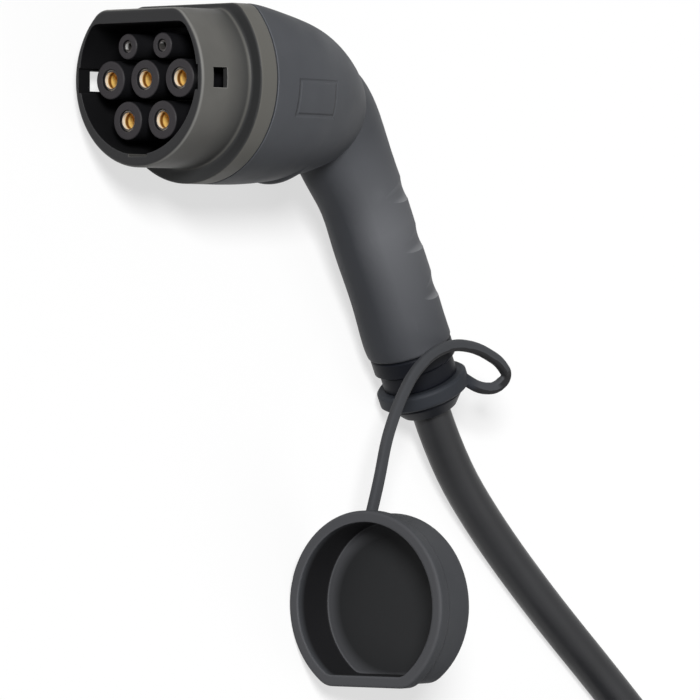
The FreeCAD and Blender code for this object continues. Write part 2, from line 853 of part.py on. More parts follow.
boot = turned_part(
    "boot",
    [
        ("-seal_pocket", "boot_bore"),
        ("boot_end", "boot_bore"),
        ("boot_end", "boot_tip"),
        ("lip_end", "lip_radius"),
        ("groove_end", "lip_radius"),
        ("groove_end", "groove_radius"),
        ("groove_start", "groove_radius"),
        ("groove_start", "boot_neck"),
        ("neck_start", "boot_neck"),
        ("bead_out", "boot_bead"),
        ("bead_in", "boot_bead"),
        (None, "bead_low"),
        (None, "plug_in_radius"),
        ("-plug_in", "plug_in_radius"),
        ("-plug_in", "seal_radius"),
        ("-seal_pocket", "seal_radius"),
    ],
)
finish(boot, "strain_relief", lie.multiply(along_grip))

cable_seal = turned_part(
    "cable_seal",
    [
        ("-seal_pocket", "boot_bore"),
        ("-seal_pocket", "seal_seat_radius"),
        ("-seal_back", "seal_seat_radius"),
        ("-seal_back", "boot_bore"),
    ],
)
finish(cable_seal, "cable_seal", lie.multiply(along_grip))

tail = doc.addObject("Part::Cylinder", "tail")
tail.setExpression("Radius", cell("cable_radius"))
tail.setExpression("Height", "dims.tail_length + dims.boot_end")
turn_to_x = Rotation(Vector(0, 1, 0), 90)
finish(
    tail, "sheath_tail",
    lie.multiply(along_grip).multiply(Placement(Vector(-size("tail_length"), 0, 0), turn_to_x)),
)


def clamp_half(label, way):
    ring = turned_part(
        label + "_ring",
        [
            ("-clamp_end", "clamp_bore"),
            ("-clamp_end", "clamp_radius"),
            ("-clamp_start", "clamp_radius"),
            ("-clamp_start", "clamp_bore"),
        ],
    )
    keep = doc.addObject("Part::Box", label + "_keep")
    keep.setExpression("Length", cell("clamp_length"))
    keep.setExpression("Width", "dims.clamp_radius * 2")
    keep.setExpression("Height", "dims.clamp_radius - dims.clamp_split / 2")
    low = size("clamp_split") / 2 if way > 0 else -size("clamp_radius")
    keep.Placement = Placement(
        Vector(-size("clamp_start"), -size("clamp_radius"), low), Rotation()
    )
    half = doc.addObject("Part::Common", label + "_half")
    half.Base = ring
    half.Tool = keep
    drill = []
    for side in (1, -1):
        hole = doc.addObject("Part::Cylinder", "%s_hole_%d" % (label, side + 1))
        hole.setExpression("Radius", "dims.clamp_screw + dims.sleeve_play")
        hole.setExpression("Height", "dims.clamp_radius * 2")
        hole.Placement = Placement(
            Vector(
                -size("clamp_start") + size("clamp_length") / 2,
                side * size("clamp_screw_side"), -size("clamp_radius"),
            ),
            Rotation(),
        )
        drill.append(hole)
    drills = doc.addObject("Part::MultiFuse", label + "_drills")
    drills.Shapes = drill
    result = doc.addObject("Part::Cut", label)
    result.Base = half
    result.Tool = drills
    finish(result, label, lie.multiply(along_grip))


clamp_half("clamp_half_front", 1)
clamp_half("clamp_half_back", -1)
clamp_pins = []
for side in (1, -1):
    pin = doc.addObject("Part::Cylinder", "clamp_screw_%d" % (side + 1))
    pin.setExpression("Radius", cell("clamp_screw"))
    pin.setExpression("Height", cell("clamp_screw_long"))
    pin.Placement = Placement(
        Vector(
            -size("clamp_start") + size("clamp_length") / 2,
            side * size("clamp_screw_side"), -size("clamp_screw_long") / 2,
        ),
        Rotation(),
    )
    clamp_pins.append(pin)
clamp_set = doc.addObject("Part::MultiFuse", "clamp_set")
clamp_set.Shapes = clamp_pins
finish(clamp_set, "clamp_screws", lie.multiply(along_grip))

# Routes of straight runs joined by tangent arcs


def rounded_route(points, share=0.45, report=None):
    edges = []
    start = points[0]
    for index in range(1, len(points) - 1):
        before, at, after = points[index - 1], points[index], points[index + 1]
        way_in = (at - before).normalize()
        way_out = (after - at).normalize()
        turn = way_in.getAngle(way_out)
        run = min((at - before).Length, (after - at).Length)
        setback = share * run
        radius = setback / math.tan(turn / 2)
        if report:
            print(report, "point", index, "radius", round(radius, 1))
        arc_start = at - way_in * setback
        arc_end = at + way_out * setback
        inward = (way_out - way_in).normalize()
        middle = at + inward * (radius / math.cos(turn / 2) - radius)
        edges.append(Part.LineSegment(start, arc_start).toShape())
        edges.append(Part.Arc(arc_start, middle, arc_end).toShape())
        start = arc_end
    edges.append(Part.LineSegment(start, points[-1]).toShape())
    return Part.Wire(edges)


def round_tube(name, points, radius, report=None):
    wire = rounded_route(points, report=report)
    way = (points[1] - points[0]).normalize()
    ring = Part.Wire([Part.Circle(points[0], way, radius).toShape()])
    solid = wire.makePipeShell([ring], True, True)
    expected = math.pi * radius ** 2 * wire.Length
    if abs(solid.Volume / expected - 1) > 0.01:
        raise ValueError("%s sweep lost volume" % name)
    if report:
        print(report, "length", round(wire.Length, 1))
    tube = doc.addObject("Part::Feature", name)
    tube.Shape = solid
    return tube


# Core wires from the crimps to the cable's end

core_end = grip_end - grip_way * size("tail_length")
core_turn = core_end - grip_way * size("core_straight")
crimp_end, grip_lean, gather = size("crimp_end"), size("grip_tilt"), size("core_gather")
core_line = [
    (crimp_end - size("crimp_depth") / 2, 0.0, 0.0, 1.0),
    (crimp_end + size("core_straight"), 0.0, 0.0, 1.0),
    *[
        [size("core_%s_%d" % (what, index)) for what in ("behind", "drop", "lean", "share")]
        for index in range(len(core_stations))
    ],
    (-core_turn.x, -core_turn.z, grip_lean, gather),
    (-core_end.x, -core_end.z, grip_lean, gather),
]
for pole, y, z, kind in poles:
    route = []
    for behind, drop, lean, share in core_line:
        slope = math.radians(lean)
        up = Vector(-math.sin(slope), 0, math.cos(slope))
        route.append(Vector(-behind, 0, -drop) + Vector(0, y * share, 0) + up * (z * share))
    core = round_tube(pole + "_core_tube", route, size(kind + "_core"))
    finish(core, pole + "_core", lie)

# Tethered cap: ring, strap and cup in one moulding

tether_ring = turned_part(
    "tether_ring",
    [
        ("ring_start", "ring_bore"),
        ("ring_end", "ring_bore"),
        ("ring_end", "ring_soft"),
        ("ring_end_in", "ring_radius"),
        ("ring_start_in", "ring_radius"),
        ("ring_start", "ring_soft"),
    ],
)
tether_ring.Placement = along_grip

# the loop's points count from the grip's lower end, the fall's are shares of the way to the cap
strap_loop = [
    (-14.3, 13.2, -11.6),
    (-21.8, 15.0, -15.6),
    (-30.2, 16.0, -15.8),
    (-34.8, 18.2, -11.0),
    (-27.7, 19.8, -5.6),
    (-14.7, 20.4, -0.6),
    (-1.2, 20.8, 0.8),
    (11.8, 21.2, -2.6),
    (23.3, 22.2, -10.0),
]
strap_fall = [
    (0.215, 2.7, -0.5),
    (0.4615, 3.3, -0.5),
    (0.731, 1.1, -0.2),
]
cap_place = Placement(
    Vector(-size("cap_back"), size("cap_side"), -size("cap_drop")),
    Rotation(Vector(0, 0, 1), size("cap_turn")),
)
cap_hold = cap_place.multVec(
    Vector(-size("cap_bead_wide") * 0.7, 0, size("cap_radius") - size("cap_wall"))
)
strap_route = [grip_end + Vector(*offset) for offset in strap_loop]
strap_turn = strap_route[-1]
for share, bow_x, bow_y in strap_fall:
    strap_route.append(strap_turn + (cap_hold - strap_turn) * share + Vector(bow_x, bow_y, 0))
strap_route.append(cap_hold)


def strap_sweep(name, points, broad):
    # a rounded rectangle carried along the route, its broad side kept on one line
    wire = rounded_route(points)
    way = (points[1] - points[0]).normalize()
    side = broad.cross(way).normalize()
    flat = way.cross(side).normalize()
    round_r = size("strap_round")
    corners = []
    for a, b in [(1, 1), (-1, 1), (-1, -1), (1, -1)]:
        reach_side = side * (a * (size("strap_wide") / 2 - round_r))
        reach_flat = flat * (b * (size("strap_thick") / 2 - round_r))
        corners.append((points[0] + reach_side + reach_flat, side * a, flat * b))
    edges = []
    for index, (middle, out_side, out_flat) in enumerate(corners):
        upright = index % 2 == 0
        first, second = (out_side, out_flat) if upright else (out_flat, out_side)
        halfway = (first + second).normalize()
        spots = [middle + out * round_r for out in (first, halfway, second)]
        edges.append(Part.Arc(*spots).toShape())
        following, next_side, next_flat = corners[(index + 1) % 4]
        next_spot = following + (next_flat if upright else next_side) * round_r
        edges.append(Part.LineSegment(spots[2], next_spot).toShape())
    pipe = Part.BRepOffsetAPI.MakePipeShell(wire)
    pipe.setBiNormalMode(broad)
    pipe.add(Part.Wire(edges), False, False)
    pipe.build()
    pipe.makeSolid()
    strap = doc.addObject("Part::Feature", name)
    strap.Shape = pipe.shape()
    return strap


strap_broad = Vector(0, 1, 0.12)
strap = strap_sweep("strap", strap_route, strap_broad)

cup = doc.addObject("PartDesign::Body", "cup")
cup_sketch = new_sketch(cup, "cup_side", "YZ_Plane")
d_profile(cup_sketch, "cap_body", "cap_body_flat", "cap_corner", turned=True)
cup_pad = pad(cup, cup_sketch, "cap_deep")
bead_sketch = new_sketch(cup, "cup_bead", "YZ_Plane")
d_profile(bead_sketch, "cap_radius", "cap_flat", "cap_corner", turned=True)
bead_pad = pad(cup, bead_sketch, "cap_bead_wide")
doc.recompute()
back_round = rounded(
    cup, "cup_back_round", bead_pad, edges_at(bead_pad, -size("cap_deep")), "cap_round"
)
rounded(cup, "cup_bead_round", back_round, edges_at(back_round, 0.0), "cap_mouth_round")
hollow_sketch = new_sketch(cup, "cup_hollow", "YZ_Plane")
d_profile(hollow_sketch, "cap_inner", "cap_inner_flat", "cap_inner_corner", turned=True)
pocket(cup, hollow_sketch, "cap_hollow")
cup.Placement = cap_place
cap_join = doc.addObject("Part::MultiFuse", "cap_join")
cap_join.Shapes = [tether_ring, strap, cup]
finish(cap_join, "tethered_cap", lie)

# Cable on the floor, in the frame of the whole part

exit_point = lie.multVec(grip_end + grip_way * size("boot_end"))
exit_way = lie.Rotation.multVec(grip_way)
coil_centre = Vector(size("coil_centre_x"), size("coil_centre_y"), 0)
coil_outer = size("coil_outer")
coil_floor = floor_z + size("tie_thick")
arrive = math.radians(size("coil_arrive"))
coil_start = coil_centre + Vector(
    coil_outer * math.cos(arrive), coil_outer * math.sin(arrive),
    coil_floor + size("cable_radius"),
)
lead_turn = Vector(size("lead_turn_x"), size("lead_turn_y"), cable_z + size("lead_lift"))
# beyond its turn the cable lies almost straight: share of the way, sideways, lift
lead_lie = [
    (0.247, -0.6, 0.0),
    (0.507, 0.4, 0.0),
    (0.758, 0.0, size("climb_lift")),
]
lead_run = coil_start - lead_turn
lead_side = Vector(-lead_run.y, lead_run.x, 0).normalize()
lead_route = [exit_point, exit_point + exit_way * size("lead_straight"), lead_turn]
for share, sideways, lift in lead_lie:
    spot = lead_turn + lead_run * share + lead_side * sideways
    lead_route.append(Vector(spot.x, spot.y, cable_z + lift))
lead_route.append(coil_start)
print("exit", exit_point, exit_way, "coil start", coil_start)
lead = round_tube("lead_tube", lead_route, size("cable_radius"), report="cable_lead")
finish(lead, "cable_lead", Placement())

outer_disc = doc.addObject("Part::Cylinder", "coil_outside")
outer_disc.setExpression("Radius", "dims.coil_outer + dims.cable_radius")
outer_disc.setExpression("Height", cell("coil_high"))
inner_disc = doc.addObject("Part::Cylinder", "coil_inside")
inner_disc.setExpression("Radius", "dims.coil_inner - dims.cable_radius")
inner_disc.setExpression("Height", cell("coil_high"))
coil_blank = doc.addObject("Part::Cut", "coil_blank")
coil_blank.Base = outer_disc
coil_blank.Tool = inner_disc
doc.recompute()
coil = doc.addObject("Part::Fillet", "coil")
coil.Base = coil_blank
coil.Edges = [
    (number, size("coil_round"), size("coil_round"))
    for number, edge in enumerate(coil_blank.Shape.Edges, start=1)
    if abs(edge.BoundBox.ZMax - edge.BoundBox.ZMin) < 1e-6
]
finish(coil, "cable_coil", Placement(coil_centre + Vector(0, 0, coil_floor), Rotation()))

# Band round the coil

band_out = doc.addObject("Part::Box", "band_out")
band_in = doc.addObject("Part::Box", "band_in")
turns_span = (
    "dims.coil_outer - dims.coil_inner + 2 * dims.cable_radius"
    " + 2 * dims.tie_play + dims.tie_bow"
)
band_out.setExpression("Length", turns_span + " + 2 * dims.tie_thick")
band_out.setExpression("Width", cell("tie_wide"))
band_out.setExpression("Height", "dims.coil_high + 2 * dims.tie_thick + dims.tie_play")
band_in.setExpression("Length", turns_span)
band_in.setExpression("Width", cell("tie_wide"))
band_in.setExpression("Height", "dims.coil_high + dims.tie_play")
band_inner = size("coil_inner") - size("cable_radius") - size("tie_play") - size("tie_bow")
half_band = size("tie_wide") / 2
band_out.Placement.Base = Vector(band_inner - size("tie_thick"), -half_band, 0)
band_in.Placement.Base = Vector(band_inner, -half_band, size("tie_thick"))
band = doc.addObject("Part::Cut", "band")
band.Base = band_out
band.Tool = band_in
finish(
    band, "coil_tie",
    Placement(
        coil_centre + Vector(0, 0, floor_z), Rotation(Vector(0, 0, 1), size("tie_angle"))
    ),
)

# Station plug: the same shell and boot, a nose with seven wells, a base plate and seven pins

plug_shell = shell_body("plug", False)
finish(scooped(plug_shell, "plug"), "plug_shell", plug_lie)

nose = doc.addObject("PartDesign::Body", "nose")
nose_sketch = new_sketch(nose, "nose_body", "YZ_Plane", "rim_reach")
d_profile(nose_sketch, "nose_radius", "nose_flat", "nose_corner", rise="cavity_rise")
nose_pad = pad(nose, nose_sketch, "dims.rim_reach + dims.flange_front")
doc.recompute()
rounded(nose, "nose_rim", nose_pad, edges_at(nose_pad, size("rim_reach")), "rim_round")
holes(
    nose, "wells", "rim_reach",
    [(y, z, kind + "_well") for pole, y, z, kind in poles],
    "dims.rim_reach + dims.flange_front",
)
finish(nose, "plug_nose", plug_lie)

base = doc.addObject("PartDesign::Body", "base")
base_outline = new_sketch(base, "base_outline", "YZ_Plane", "-flange_front")
d_profile(base_outline, "flange_radius", "flange_flat", "collar_corner")
pad(base, base_outline, "dims.seam - dims.flange_front")
holes(
    base, "pin_seats", "-flange_front",
    [(y, z, kind + "_pin_seat") for pole, y, z, kind in poles],
    "pin_seat",
)
finish(base, "plug_base", plug_lie)

for pole, y, z, kind in poles:
    label = "plug_%s_pin" % pole
    pin = turned_part(
        label,
        [
            ("-pin_root", None),
            ("-pin_front", None),
            ("-pin_front", kind + "_pin_in"),
            ("-pin_front_in", "pin_" + kind),
            ("-pin_root", "pin_" + kind),
        ],
    )
    finish(pin, label, plug_lie.multiply(Placement(Vector(0, y, z), Rotation())))

plug_boot = turned_part(
    "plug_boot",
    [
        (None, "boot_bore"),
        ("boot_end", "boot_bore"),
        ("boot_end", "boot_tip"),
        ("groove_start", "boot_neck"),
        ("neck_start", "boot_neck"),
        ("bead_out", "boot_bead"),
        ("bead_in", "boot_bead"),
        (None, "bead_low"),
    ],
)
finish(plug_boot, "plug_strain_relief", plug_lie.multiply(along_grip))

plug_exit = plug_lie.multVec(grip_end + grip_way * size("boot_end"))
plug_way = plug_lie.Rotation.multVec(grip_way)
leave_z = coil_floor + size("coil_high") - size("cable_radius")
leave = Vector(coil_centre.x + coil_outer, coil_centre.y, leave_z)
print("plug exit", plug_exit, plug_way, "leave", leave)
# the fall from the coil counts from where the cable leaves it
end_fall = [
    (0.4, -34.0, -0.25),
    (1.0, -60.0, -5.65),
]
end_route = [leave]
end_route += [leave + Vector(*offset) for offset in end_fall]
end_route += [plug_exit + plug_way * size("end_straight"), plug_exit]
end_tube = round_tube("end_tube", end_route, size("cable_radius"), report="cable_end")
finish(end_tube, "cable_end", Placement())

# Recompute, prove every solid, write the files

doc.recompute()
for item in doc.Objects:
    if "Invalid" in item.State or "Error" in item.State:
        raise RuntimeError("%s failed: %s" % (item.Name, item.State))
os.makedirs("parts", exist_ok=True)
for item in finished:
    if item.Shape.isNull() or not item.Shape.isValid():
        raise RuntimeError("%s has no valid shape" % item.Label)
    if item.Shape.Volume <= 0:
        raise RuntimeError("%s has no volume" % item.Label)
    item.Shape.exportStep("parts/%s.step" % item.Label)
    box = item.Shape.BoundBox
    print(
        "%-20s solids %d volume %10.1f z %.2f .. %.2f"
        % (item.Label, len(item.Shape.Solids), item.Shape.Volume, box.ZMin, box.ZMax)
    )
print(len(finished), "nodes")
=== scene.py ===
import bpy
import bmesh
import math
from mathutils import Matrix, Vector


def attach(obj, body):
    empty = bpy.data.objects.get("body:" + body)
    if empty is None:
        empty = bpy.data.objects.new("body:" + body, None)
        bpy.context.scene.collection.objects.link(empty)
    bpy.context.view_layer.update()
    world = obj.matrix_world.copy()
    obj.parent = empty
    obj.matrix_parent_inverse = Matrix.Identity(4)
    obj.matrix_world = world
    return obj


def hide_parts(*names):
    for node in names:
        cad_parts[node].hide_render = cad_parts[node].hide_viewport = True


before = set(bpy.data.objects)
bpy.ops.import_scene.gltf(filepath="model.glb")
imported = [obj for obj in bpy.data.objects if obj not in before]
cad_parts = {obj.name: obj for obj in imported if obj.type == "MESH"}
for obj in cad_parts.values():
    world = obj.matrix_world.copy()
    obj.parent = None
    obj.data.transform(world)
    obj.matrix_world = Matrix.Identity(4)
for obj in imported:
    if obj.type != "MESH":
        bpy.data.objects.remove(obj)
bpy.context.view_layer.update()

# Charging cable: the CAD nodes get their finishes, the cord and the soft band are made here.
# Frame: connector's face towards -Y, floor below, lengths in metres.

lie = {"roll": 10.2, "floor": -0.0369}  # degrees about the face's axis, the floor's height
sinRoll = math.sin(math.radians(lie["roll"]))
cosRoll = math.cos(math.radians(lie["roll"]))


def fromConnector(x, y, z):
    # connector's own millimetres: X out of the face, Z towards the flat
    return Vector((y * sinRoll - z * cosRoll, -x, y * cosRoll + z * sinRoll)) / 1000


def wayFromConnector(x, y, z):
    return tuple(fromConnector(x, y, z).normalized())


# Camera

camera = {
    "toCamera": Vector((0.1185, -0.743, 0.6585)),
    "up": Vector((-0.9842, 0.0, 0.1771)),
    "target": Vector((0.10444, 0.04864, 0.03609)),
    "distance": 2.5,
    "lens": 361.3,
    "farthest": 20.0,
}
back = camera["toCamera"].normalized()
right = camera["up"].cross(back).normalized()
upward = back.cross(right)
cameraData = bpy.data.cameras.new("viewCamera")
cameraData.lens = camera["lens"]
cameraData.clip_end = camera["farthest"]
cameraObject = bpy.data.objects.new("viewCamera", cameraData)
bpy.context.scene.collection.objects.link(cameraObject)
aimed = Matrix((right, upward, back)).transposed().to_4x4()
cameraObject.matrix_world = Matrix.Translation(camera["target"] + back * camera["distance"]) @ aimed
bpy.context.scene.camera = cameraObject
print("stage: camera")

# Cord: the same points as the CAD route, then the coil's turns, then the plug's end

cable = {
    "radius": 0.00725,
    "exit": Vector((0.116233, 0.153066, -0.020914)),
    "exitWay": Vector((0.88459, 0.43837, -0.15916)),
    "straight": 0.022,
    "turn": Vector((0.1615, 0.1854, -0.02865)),
    "onFloor": [(0.247, -0.0006, 0.0), (0.507, 0.0004, 0.0), (0.758, 0.0, 0.0004)],  # share, sideways, lift
    "end": [(0.4806, 0.180, -0.0142), (0.4812, 0.154, -0.0196)],
    "plugExit": Vector((0.479222, 0.094020, -0.020914)),
    "plugWay": Vector((0.001058, 0.987252, -0.159163)),
    "plugStraight": 0.028,
    "order": 3,
    "steps": 6,  # along each span and round each quarter
}
coil = {
    "centre": (0.3625, 0.214),
    "outer": 0.1177,
    "inner": 0.0583,
    "start": 135.5,  # angle at which the lead arrives
    "layerTurns": 4.1,
    "climbTurns": 0.197,
    "bottom": -0.02845,
    "top": -0.01395,
    "step": 18.0,  # degrees between points
}


def passed(value, start, end):
    # 0 before the start, 1 after the end
    return min(max((value - start) / (end - start), 0.0), 1.0)


def coilPoints():
    # turns inward on the floor, a climb, then turns outward on top of them
    climbStart = coil["layerTurns"]
    climbEnd = climbStart + coil["climbTurns"]
    total = climbEnd + coil["layerTurns"]
    count = round(total * 360 / coil["step"])
    points = []
    for index in range(count + 1):
        swept = total * index / count
        inward = passed(swept, 0, climbStart) - passed(swept, climbEnd, total)
        climbed = passed(swept, climbStart, climbEnd)
        radius = coil["outer"] + (coil["inner"] - coil["outer"]) * inward
        angle = math.radians(coil["start"] - swept * 360)
        points.append((
            coil["centre"][0] + radius * math.cos(angle),
            coil["centre"][1] + radius * math.sin(angle),
            coil["bottom"] + (coil["top"] - coil["bottom"]) * climbed,
        ))
    return points


def cordPoints():
    # out of the boot, over the floor to the coil, round it, then into the plug's boot
    turns = coilPoints()
    run = Vector(turns[0]) - cable["turn"]
    aside = Vector((-run.y, run.x, 0)).normalized()
    points = [cable["exit"], cable["exit"] + cable["exitWay"] * cable["straight"], cable["turn"]]
    for share, sideways, lift in cable["onFloor"]:
        spot = cable["turn"] + run * share + aside * sideways
        points.append((spot.x, spot.y, lie["floor"] + cable["radius"] + lift))
    points += turns + cable["end"]
    points += [cable["plugExit"] + cable["plugWay"] * cable["plugStraight"], cable["plugExit"]]
    return points


cordRoute = cordPoints()
cordCurve = bpy.data.curves.new("chargingCord", "CURVE")
cordCurve.dimensions = "3D"
cordCurve.resolution_u = cable["steps"]
cordCurve.bevel_depth = cable["radius"]
cordCurve.bevel_resolution = cable["steps"]
cordCurve.use_fill_caps = True
cordLine = cordCurve.splines.new("NURBS")
cordLine.points.add(len(cordRoute) - 1)
for spot, point in zip(cordLine.points, cordRoute):
    spot.co = (*point, 1.0)
cordLine.order_u = cable["order"]
cordLine.use_endpoint_u = True
cableObject = bpy.data.objects.new("chargingCord", cordCurve)
bpy.context.scene.collection.objects.link(cableObject)
print("stage: cord,", len(cordRoute), "points")

# Nodes that the finishes share


def newMaterial(name):
    material = bpy.data.materials.new(name)
    material.use_nodes = True
    material.node_tree.nodes.clear()
    return material


def addNode(tree, kind, inputs, **settings):
    # numbers and colours are set on the inputs, other nodes' outputs are linked to them
    node = tree.nodes.new(kind)
    for setting, value in settings.items():
        setattr(node, setting, value)
    for socket, value in inputs.items():
        if isinstance(value, bpy.types.NodeSocket):
            tree.links.new(value, node.inputs[socket])
        else:
            node.inputs[socket].default_value = value
    return node


def shaderFor(tree, finish):
    shader = addNode(tree, "ShaderNodeBsdfPrincipled", {
        "Metallic": finish["metal"], "Specular IOR Level": finish["gloss"],
    })
    addNode(tree, "ShaderNodeOutputMaterial", {"Surface": shader.outputs["BSDF"]})
    return shader


def objectPlace(tree):
    return addNode(tree, "ShaderNodeTexCoord", {}).outputs["Object"]


def noiseOn(tree, coordinate, scale, detail):
    noise = addNode(tree, "ShaderNodeTexNoise", {"Vector": coordinate, "Scale": scale, "Detail": detail})
    return noise.outputs["Fac"]


def wavesOn(tree, coordinate, direction, scale, waver):
    waves = addNode(
        tree, "ShaderNodeTexWave", {"Vector": coordinate, "Scale": scale, "Distortion": waver},
        bands_direction=direction,
    )
    return waves.outputs["Fac"]


def rangeOf(tree, value, low, high, start=0.3, full=0.7):
    # most of a noise lies between 0.3 and 0.7
    span = addNode(tree, "ShaderNodeMapRange", {
        "Value": value, "From Min": start, "From Max": full, "To Min": low, "To Max": high,
    })
    return span.outputs["Result"]


def mathOn(tree, kind, *values):
    return addNode(tree, "ShaderNodeMath", dict(enumerate(values)), operation=kind).outputs["Value"]


def vectorOn(tree, kind, inputs, result="Vector"):
    return addNode(tree, "ShaderNodeVectorMath", inputs, operation=kind).outputs[result]


def dotOf(tree, first, second):
    return vectorOn(tree, "DOT_PRODUCT", {0: first, 1: second}, "Value")


def shaded(colour, share):
    return tuple(part * share for part in colour)


def mixColours(tree, share, first, second):
    ends = [value if isinstance(value, bpy.types.NodeSocket) else (*value, 1.0) for value in (first, second)]
    mix = addNode(tree, "ShaderNodeMix", {"Factor": share, "A": ends[0], "B": ends[1]}, data_type="RGBA")
    return mix.outputs["Result"]


def bumpFrom(tree, height, distance, strength, under=None):
    inputs = {"Height": height, "Distance": distance, "Strength": strength}
    if under is not None:
        inputs["Normal"] = under
    return addNode(tree, "ShaderNodeBump", inputs).outputs["Normal"]


# sharp and flat: the cosine between a face's own normal and its rounded one
edges = {"samples": 4, "sharp": 0.8, "flat": 0.995}


def edgeShare(tree, rounding):
    # 0 on flat ground, rising to 1 on an edge, and the rounded normal
    bevel = addNode(tree, "ShaderNodeBevel", {"Radius": rounding}, samples=edges["samples"])
    rounded = bevel.outputs["Normal"]
    plain = addNode(tree, "ShaderNodeNewGeometry", {}).outputs["Normal"]
    return rangeOf(tree, dotOf(tree, rounded, plain), 1.0, 0.0, edges["sharp"], edges["flat"]), rounded


def readingsAt(tree, coordinate, place):
    # how far outward a face looks, its distances along and across the place's axis, and its facing
    offset = vectorOn(tree, "SUBTRACT", {0: coordinate, 1: place["centre"]})
    normal = addNode(tree, "ShaderNodeNewGeometry", {}).outputs["Normal"]
    along = dotOf(tree, offset, place["axis"])
    facing = dotOf(tree, normal, place["axis"])
    outward = mathOn(tree, "SUBTRACT", dotOf(tree, normal, offset), mathOn(tree, "MULTIPLY", along, facing))
    reach = vectorOn(tree, "LENGTH", {0: offset}, "Value")
    squares = [mathOn(tree, "POWER", value, 2.0) for value in (reach, along)]
    across = mathOn(tree, "SQRT", mathOn(tree, "SUBTRACT", *squares))
    return {"outward": outward, "along": along, "across": across, "facing": facing}


def zoned(tree, coordinate, tone, zones):
    # other tones, mostly painted shade and painted highlights, in a hollow or on the faces round a place,
    # each within all of its bounds
    for place, tones in zones.items():
        readings = readingsAt(tree, coordinate, places[place])
        for colour, *bounds in tones:
            share = 1.0
            for reading, start, full in bounds:
                within = rangeOf(tree, readings[reading], 0.0, 1.0, start, full)
                share = mathOn(tree, "MULTIPLY", within, share)
            tone = mixColours(tree, share, tone, colour)
    return tone


def lightened(tree, tone, share):
    # the tone itself, brighter by a share, for the painted highlight on edges
    return vectorOn(tree, "SCALE", {"Vector": tone, "Scale": mathOn(tree, "ADD", share, 1.0)})


def panelLine(tree, coordinate, panel):
    # shallow line round a bare panel on one side of the head, in the connector's own frame
    rearward = dotOf(tree, coordinate, wayFromConnector(-1, 0, 0))
    sideways = dotOf(tree, coordinate, wayFromConnector(0, 1, 0))
    high = dotOf(tree, coordinate, wayFromConnector(0, 0, 1))
    beyond = []
    for reading, middle, half in (
        (rearward, panel["rear"], panel["halfLong"]),
        (high, panel["high"], panel["halfTall"]),
    ):
        offset = mathOn(tree, "ABSOLUTE", mathOn(tree, "SUBTRACT", reading, middle))
        beyond.append(mathOn(tree, "SUBTRACT", offset, half))
    border = mathOn(tree, "ABSOLUTE", mathOn(tree, "MAXIMUM", *beyond))
    ground = rangeOf(tree, border, 0.0, 1.0, panel["lineBed"], panel["line"])
    otherSide = mathOn(tree, "LESS_THAN", sideways, 0.0)
    return mathOn(tree, "MAXIMUM", ground, otherSide)


# Three kinds of finish: moulded, turned and woven

mouldedPlain = {
    "metal": 0.0, "gloss": 0.3, "zones": {},
    "cloud": 28.0, "cloudDetail": 4.0,
    "spread": 0.1,  # share by which the clouds are darker and lighter than the colour
    "patch": 60.0, "patchDetail": 5.0, "smoother": 0.05, "rougher": 0.06,
    "edge": 0.0006,  # rounding
    "edgeHighlight": 0.5,  # painted highlight: share by which the edges are lighter
    "grain": 2200.0, "grainDetail": 2.0, "grainDeep": 0.00006, "grainStrength": 0.35,
}


def moulded(name, own):
    finish = {**mouldedPlain, **own}
    material = newMaterial(name)
    tree = material.node_tree
    shader = shaderFor(tree, finish)
    coordinate = objectPlace(tree)
    cloud = noiseOn(tree, coordinate, finish["cloud"], finish["cloudDetail"])
    darker = shaded(finish["colour"], 1 - finish["spread"])
    lighter = shaded(finish["colour"], 1 + finish["spread"])
    tone = mixColours(tree, rangeOf(tree, cloud, 0.0, 1.0), darker, lighter)
    tone = zoned(tree, coordinate, tone, finish["zones"])
    edge, normal = edgeShare(tree, finish["edge"])
    # painted highlight: edges lighter than the faces
    edgeHighlightShare = mathOn(tree, "MULTIPLY", edge, finish["edgeHighlight"])
    tree.links.new(lightened(tree, tone, edgeHighlightShare), shader.inputs["Base Color"])
    patch = noiseOn(tree, coordinate, finish["patch"], finish["patchDetail"])
    smoothest = finish["rough"] - finish["smoother"]
    roughest = finish["rough"] + finish["rougher"]
    tree.links.new(rangeOf(tree, patch, smoothest, roughest), shader.inputs["Roughness"])
    if "panel" in finish:
        height = panelLine(tree, coordinate, finish["panel"])
        normal = bumpFrom(tree, height, finish["panel"]["deep"], 1.0, normal)
    grain = noiseOn(tree, coordinate, finish["grain"], finish["grainDetail"])
    normal = bumpFrom(tree, grain, finish["grainDeep"], finish["grainStrength"], normal)
    tree.links.new(normal, shader.inputs["Normal"])
    return material


turnedPlain = {
    "zones": {}, "cloud": 160.0, "cloudDetail": 2.0, "dimmed": 0.86, "smoother": 0.05, "rougher": 0.08,
    "rings": 900.0, "ringWaver": 0.6, "ringDeep": 0.00001, "ringStrength": 0.15,
}


def turned(name, own):
    # lathe-turned and plated: fine rings across the axis
    finish = {**turnedPlain, **own}
    material = newMaterial(name)
    tree = material.node_tree
    shader = shaderFor(tree, finish)
    coordinate = objectPlace(tree)
    cloud = noiseOn(tree, coordinate, finish["cloud"], finish["cloudDetail"])
    dimmed = shaded(finish["colour"], finish["dimmed"])
    tone = mixColours(tree, rangeOf(tree, cloud, 0.0, 1.0), dimmed, finish["colour"])
    tone = zoned(tree, coordinate, tone, finish["zones"])
    tree.links.new(tone, shader.inputs["Base Color"])
    smoothest = finish["rough"] - finish["smoother"]
    roughest = finish["rough"] + finish["rougher"]
    tree.links.new(rangeOf(tree, cloud, smoothest, roughest), shader.inputs["Roughness"])
    rings = wavesOn(tree, coordinate, "Y", finish["rings"], finish["ringWaver"])
    normal = bumpFrom(tree, rings, finish["ringDeep"], finish["ringStrength"])
    tree.links.new(normal, shader.inputs["Normal"])
    return material


